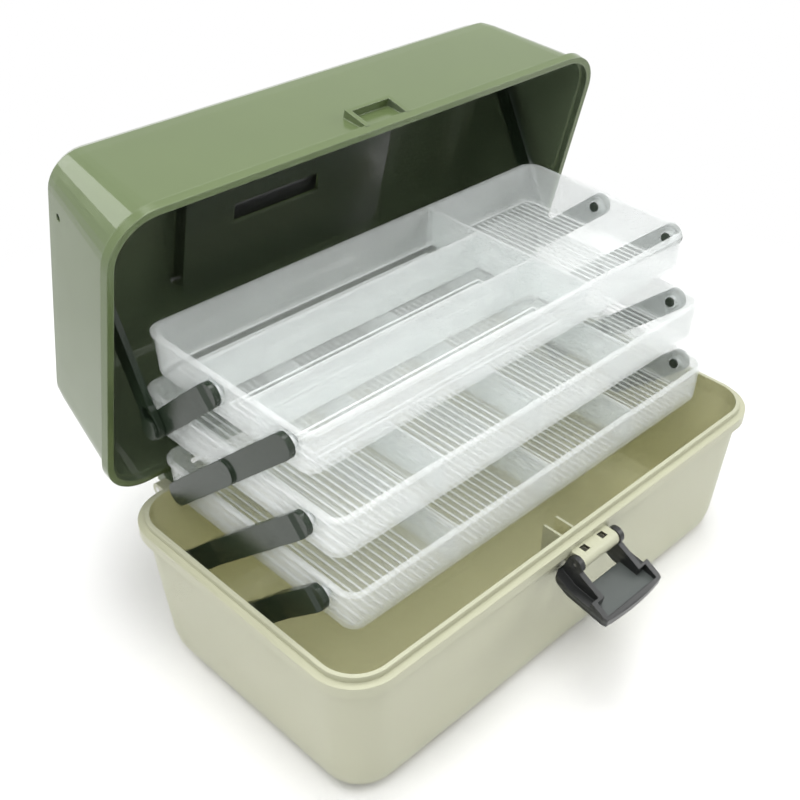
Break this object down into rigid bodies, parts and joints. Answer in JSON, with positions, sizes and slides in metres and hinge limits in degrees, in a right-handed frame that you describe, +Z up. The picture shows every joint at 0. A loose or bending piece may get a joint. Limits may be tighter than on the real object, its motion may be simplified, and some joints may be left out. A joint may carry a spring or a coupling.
{
  "type": "cantilever tackle box",
  "caption": "Moulded tackle box with a deep base, a hinged lid and stepped trays that spread out on parallel links as the lid opens, a front latch and a folding handle.",
  "frame": {"origin": "middle of the base's flat underside", "axes": "+X along the box's length, +Y to the hinges at the back, +Z up"},
  "size_m": [0.38, 0.3402, 0.3173],
  "materials": {
    "base_plastic": "satin moulded polypropylene, cream",
    "lid_plastic": "satin moulded polypropylene, olive green",
    "tray_plastic": "translucent frosted polypropylene",
    "link_plastic": "black moulded plastic, slightly glossy",
    "latch_plastic": "black moulded plastic, satin",
    "handle_plastic": "black moulded plastic",
    "pin_steel": "plain steel wire"
  },
  "bodies": {
    "base": {"base_tub": "base_plastic", "hinge_pin_left": "pin_steel", "hinge_pin_right": "pin_steel", "latch_pin": "pin_steel"},
    "lid": {"lid_shell": "lid_plastic", "handle_pin_left": "pin_steel", "handle_pin_right": "pin_steel"},
    "handle": {"carry_handle": "handle_plastic"},
    "latch": {"latch": "latch_plastic"},
    "base_links": {"base_link_left": "link_plastic", "base_link_right": "link_plastic"},
    "lower_links": {"lower_link_left": "link_plastic", "lower_link_right": "link_plastic"},
    "bottom_tray": {"bottom_tray": "tray_plastic"},
    "upper_links": {"upper_link_left": "link_plastic", "upper_link_right": "link_plastic"},
    "middle_tray": {"middle_tray": "tray_plastic"},
    "rear_links": {"rear_link_left": "link_plastic", "rear_link_right": "link_plastic"},
    "top_tray": {"top_tray": "tray_plastic"},
    "lid_arms": {"lid_arm_left": "link_plastic", "lid_arm_right": "link_plastic"}
  },
  "joints": [
    {"name": "lid_hinge", "type": "hinge", "parent": "base", "child": "lid", "pos_m": [0, 0.11, 0.1027], "axis": [1, 0, 0], "range_deg": [0, 76.6]},
    {"name": "handle_pivot", "type": "hinge", "parent": "lid", "child": "handle", "pos_m": [0, 0.18018, 0.19343], "axis": [1, 0, 0], "range_deg": [-90, 0]},
    {"name": "latch_hinge", "type": "hinge", "parent": "base", "child": "latch", "pos_m": [0, -0.1095, 0.097], "axis": [1, 0, 0], "range_deg": [-131, 0]},
    {"name": "base_link_pivot", "type": "hinge", "parent": "base", "child": "base_links", "pos_m": [0, 0.0051, 0.08], "axis": [1, 0, 0], "range_deg": [0, 15.85]},
    {"name": "lower_link_pivot", "type": "hinge", "parent": "base", "child": "lower_links", "pos_m": [0, 0.0651, 0.08], "axis": [1, 0, 0], "range_deg": [0, 15.85]},
    {"name": "bottom_tray_pivot", "type": "hinge", "parent": "base_links", "child": "bottom_tray", "pos_m": [0, -0.04841, 0.12818], "axis": [1, 0, 0], "range_deg": [-15.85, 0]},
    {"name": "upper_link_pivot", "type": "hinge", "parent": "bottom_tray", "child": "upper_links", "pos_m": [0, 0.07159, 0.12818], "axis": [1, 0, 0], "range_deg": [0, 15.85]},
    {"name": "middle_tray_pivot", "type": "hinge", "parent": "upper_links", "child": "middle_tray", "pos_m": [0, 0.02217, 0.17267], "axis": [1, 0, 0], "range_deg": [-15.85, 0]},
    {"name": "rear_link_pivot", "type": "hinge", "parent": "middle_tray", "child": "rear_links", "pos_m": [0, 0.08217, 0.17267], "axis": [1, 0, 0], "range_deg": [0, 15.85]},
    {"name": "top_tray_pivot", "type": "hinge", "parent": "rear_links", "child": "top_tray", "pos_m": [0, 0.03275, 0.21717], "axis": [1, 0, 0], "range_deg": [-15.85, 0]},
    {"name": "lid_arm_pivot", "type": "hinge", "parent": "lid", "child": "lid_arms", "pos_m": [0, 0.1385, 0.28425], "axis": [1, 0, 0], "range_deg": [0, 26.55]}
  ],
  "couplings": [
    {"joint": "base_link_pivot", "follows": "lid_hinge", "ratio": 0.2063},
    {"joint": "lower_link_pivot", "follows": "lid_hinge", "ratio": 0.2063},
    {"joint": "bottom_tray_pivot", "follows": "lid_hinge", "ratio": -0.2063},
    {"joint": "upper_link_pivot", "follows": "lid_hinge", "ratio": 0.2063},
    {"joint": "middle_tray_pivot", "follows": "lid_hinge", "ratio": -0.2063},
    {"joint": "rear_link_pivot", "follows": "lid_hinge", "ratio": 0.2063},
    {"joint": "top_tray_pivot", "follows": "lid_hinge", "ratio": -0.2063},
    {"joint": "lid_arm_pivot", "follows": "lid_hinge", "ratio": 0.346}
  ]
}
